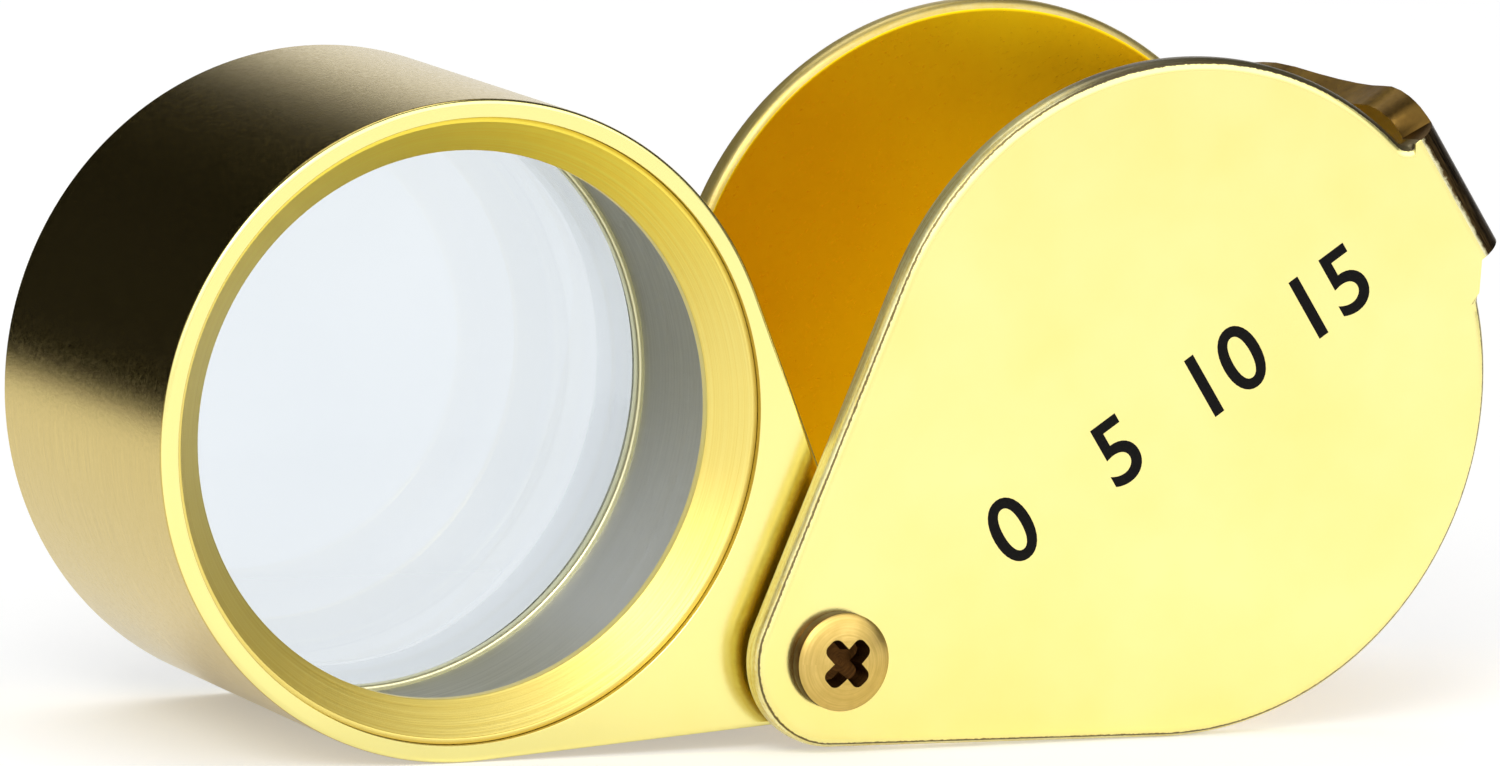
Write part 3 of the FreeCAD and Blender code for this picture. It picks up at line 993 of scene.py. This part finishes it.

# %% [markdown]
# ## Bend and strap
#
# Bending stretches the plating, so on the strap it is full of fine streaks along the bend. Its dark
# colour is a painted dark reflection, and at the start of the bend lies a painted highlight line.
# The strap's own edges are worn amber, painted darker towards the bend as a painted dark reflection.

# %% Gold of the bend and the strap
tree, shader, place = new_finish("gold_bend", (0.16, 0.09, 0.03), 0.3, pivot, case_tilt)
along = axes_of(tree, place)["X"]
streaks = grain(tree, stretched(tree, place, (9, 9, 0.7)), 1.4, detail=5, roughness=0.65)
# A bright line at the start of the bend: a painted highlight with a ragged edge.
highlight_jitter = grain(tree, place, 4.0)
line_end = plus(tree, along, times(tree, highlight_jitter, 0.35))
painted_highlight_line = spread(tree, line_end, bend_x + 0.42, bend_x + 0.55, 1.0, 0.0)
# The strap's near-black colour: a painted dark reflection, with real streaks along the bend.
streaked_dark_reflection = blended(tree, spread(tree, streaks, 0.35, 0.7),
                    (0.035, 0.019, 0.007, 1), (0.22, 0.135, 0.045, 1))
drive(tree, shader, "Base Color", blended(tree, painted_highlight_line, streaked_dark_reflection, (1.0, 0.93, 0.55, 1)))
gloss(tree, shader, streaks, 0.22, 0.38)
raise_by(tree, shader, streaks, 0.012)

tree, shader, place = new_finish("gold_strap_edge", (0.40, 0.22, 0.05), 0.36, pivot, case_tilt)
depth_in = calculate(tree, "ABSOLUTE", axes_of(tree, place)["Y"])
patches = grain(tree, place, 0.6)
specks = grain(tree, place, 7.0)
worn = blended(tree, toned(tree, patches), (0.36, 0.19, 0.025, 1), (0.75, 0.46, 0.09, 1))
# Towards the bend the edges are painted almost black: a painted dark reflection.
painted_dark_near_bend = spread(tree, depth_in, 5.6, 7.4, 0.0, 0.88, smooth=True)
drive(tree, shader, "Base Color", blended(tree, painted_dark_near_bend, worn, (0.025, 0.013, 0.005, 1)))
gloss(tree, shader, specks, 0.3, 0.42)
raise_by(tree, shader, specks, 0.006)

# %% [markdown]
# ## Barrel
#
# The faces of the barrel are polished like the case. Its round side was brushed while it turned,
# so the marks run round the lens axis, and the seat of the lens is left pale. One block of metal
# with three finishes is told apart face by face: by the way a face looks and how near it is to the
# lens axis.

# %% Gold of the barrel
def fine_turned(name, colour, roughness, dark, light, depth_mm, metallic=1.0):
    """A finish with fine turning marks about the lens axis."""
    tree, shader, place = new_finish(name, colour, roughness, lens_middle, metallic=metallic)
    turning = grain(tree, lathe_place(tree, place, 20.0, 0.5, 20.0), 1.0)
    mottle(tree, shader, turning, dark, light)
    raise_by(tree, shader, turning, depth_mm)
    return tree, shader, place


tree, shader, place = new_finish("gold_barrel_face", PLATE, 0.2, pivot, barrel_tilt)
smears = grain(tree, place, 0.3, detail=4)
mottle(tree, shader, smears, (0.96, 0.85, 0.30), (0.98, 0.90, 0.36))
gloss(tree, shader, smears, 0.14, 0.22)
raise_by(tree, shader, grain(tree, place, 6.0, detail=4), 0.0015)

tree, shader, place = new_finish("gold_barrel_side", (0.66, 0.51, 0.17), 0.22, lens_middle)
brushed = grain(tree, lathe_place(tree, place, 0.0, 3.0, 9.0), 1.5, detail=5, roughness=0.75)
specks = grain(tree, place, 6.0, detail=4, roughness=0.7)
mottle(tree, shader, toned(tree, brushed), (0.56, 0.415, 0.11), (0.68, 0.525, 0.15))
gloss(tree, shader, specks, 0.15, 0.27)
raise_by(tree, shader, plus(tree, brushed, specks), 0.0045)

tree, shader, place = fine_turned("pale_lens_seat", (0.92, 0.94, 0.94), 0.16,
                                  (0.90, 0.92, 0.92), (0.95, 0.97, 0.97), 0.003)
seat_depth = axes_of(tree, place)["Y"]
behind_ledge = spread(tree, seat_depth, lens_seat + 0.01, lens_seat + 0.03)
drive(tree, shader, "Metallic", behind_ledge)

dress(housing, "gold_barrel_face", "gold_barrel_side", "pale_lens_seat")
for face in housing.data.polygons:
    face.material_index = 0 if abs(face.normal.y) > 0.5 else 1
    from_axis = math.hypot(face.center.x - lens_middle.x, face.center.z - lens_middle.z) / MM
    if from_axis < bore_radius - 0.3 and face.center.y > 0 and face.normal.y < 0.5:
        face.material_index = 2

# %% [markdown]
# ## Ring, tube and clamp
#
# The front ring is turned and carries fine grooves. Its upper half is painted a warmer gold, a
# painted reflection of the deep gold inside the barrel. The tube behind it is matt grey and rubbed
# along its length, with painted light that makes it paler below, and the ring at the lens is pale
# brass.

# %% Ring, tube, clamp
tree, shader, place = new_finish("gold_turned_ring", (0.93, 0.74, 0.20), 0.34, lens_middle,
                                 metallic=0.85)
turning = grain(tree, lathe_place(tree, place, 20.0, 0.6, 14.0), 1.0, detail=5, roughness=0.65)
height = axes_of(tree, place)["Z"]
ring_gold = blended(tree, toned(tree, turning), (0.86, 0.67, 0.15, 1), (0.96, 0.82, 0.26, 1))
painted_reflection_gold = blended(tree, toned(tree, turning), (1.0, 0.72, 0.06, 1), (1.0, 0.86, 0.12, 1))
# The upper half is painted a warmer gold: a painted reflection of the deep gold inside the barrel.
upper_half = spread(tree, height, 2.0, 11.0, smooth=True)
drive(tree, shader, "Base Color", blended(tree, upper_half, ring_gold, painted_reflection_gold))
gloss(tree, shader, turning, 0.30, 0.42)
raise_by(tree, shader, turning, 0.008)
dress(front_ring, "gold_turned_ring")

tree, shader, place = new_finish("tube_grey", (0.50, 0.50, 0.42), 0.5, lens_middle, metallic=0.4)
rubbed = grain(tree, lathe_place(tree, place, 0.0, 1.2, 5.0), 1.0, detail=5, roughness=0.65)
height = axes_of(tree, place)["Z"]
tube_colour = blended(tree, toned(tree, rubbed), (0.44, 0.44, 0.35, 1), (0.62, 0.62, 0.53, 1))
# Paler below: painted light on the lower wall of the tube.
below = times(tree, spread(tree, height, 2.0, -7.0, 0.0, 0.75, smooth=True),
              spread(tree, height, -7.5, -10.5, 1.0, 0.0, smooth=True))
drive(tree, shader, "Base Color", blended(tree, below, tube_colour, (0.78, 0.80, 0.80, 1)))
gloss(tree, shader, rubbed, 0.44, 0.58)
raise_by(tree, shader, rubbed, 0.006)
dress(inner_tube, "tube_grey")

fine_turned("clamp_brass", (0.98, 0.94, 0.58), 0.35, (0.92, 0.87, 0.50), (1.0, 0.98, 0.68), 0.004,
            metallic=0.7)
dress(lens_ring, "clamp_brass")

# %% [markdown]
# ## Glass and spacer
#
# The lenses are clear and let a white room show through, with the faint cool tint of a coating.
# The conical spacer is bright metal: it mirrors the white behind the loupe, so that no dark ring
# stands behind the front lens.

# %% Glass
tree, shader, place = new_finish("coated_glass", (0.89, 0.92, 0.94), 0.0, lens_middle,
                                 metallic=0.0, **{"Transmission Weight": 1.0, "IOR": 1.52})
mottle(tree, shader, grain(tree, place, 0.12, detail=1), (0.87, 0.90, 0.925), (0.91, 0.935, 0.955))
for piece in ("eye_lens", "field_lens"):
    dress(bpy.data.objects[piece], "coated_glass")

fine_turned("spacer_bright", (0.92, 0.94, 0.95), 0.16, (0.93, 0.94, 0.95), (0.97, 0.98, 0.98),
            0.003)
dress(spacer, "spacer_bright")

# %% [markdown]
# ## Turned brass and the small pieces
#
# Screw, post, washers and bush all come off a lathe. One recipe with rings of turning marks and a
# few stains serves them all, and only the two tones and the gloss differ. The driver's cross and the
# side of the screw head are painted almost black: painted shade in the cross, where little light
# gets in, and a painted shadow round the head.

# %% Turned brass and small pieces
def turned_metal(name, dark, light, roughness):
    """A finish with turning marks about the pivot."""
    tree, shader, place = new_finish(name, light, roughness, pivot)
    turning = grain(tree, lathe_place(tree, place, 16.0, 0.8, 16.0), 1.0, detail=4)
    stain = grain(tree, place, 1.4)
    share = times(tree, spread(tree, turning, 0.25, 0.75), toned(tree, stain, 0.4, 1))
    mottle(tree, shader, share, dark, light)
    gloss(tree, shader, stain, roughness + 0.1, roughness - 0.05)
    raise_by(tree, shader, turning, 0.006)


turned_metal("screw_head_brass", (0.55, 0.38, 0.10), (0.78, 0.56, 0.18), 0.36)
turned_metal("post_brass", (0.45, 0.30, 0.12), (0.82, 0.62, 0.30), 0.30)
turned_metal("washer_steel", (0.35, 0.34, 0.33), (0.62, 0.61, 0.59), 0.30)
turned_metal("spring_steel", (0.22, 0.22, 0.24), (0.48, 0.48, 0.50), 0.25)
turned_metal("bush_bronze", (0.30, 0.17, 0.07), (0.60, 0.38, 0.18), 0.42)
turned_metal("screw_painted_shade", (0.04, 0.018, 0.005), (0.13, 0.055, 0.014), 0.42)
dress(post, "post_brass")
for name, metal in (("front_washer", "washer_steel"), ("back_washer", "washer_steel"),
                    ("wave_washer", "spring_steel"), ("pivot_bush", "bush_bronze")):
    frame["nodes"][name].material_slots[0].material = finish_named(metal)

# %% [markdown]
# ## Ink
#
# The numbers are printed in matt black that is slightly worn.

# %% Ink
tree, shader, place = new_finish("black_ink", (0.002, 0.002, 0.002), 0.6, pivot, case_tilt,
                                 metallic=0.0, **{"Specular IOR Level": 0.08})
worn = grain(tree, place, 6.0)
mottle(tree, shader, worn, (0.003, 0.003, 0.003), (0.012, 0.011, 0.010))
raise_by(tree, shader, worn, 0.002)
dress(print_line, "black_ink")
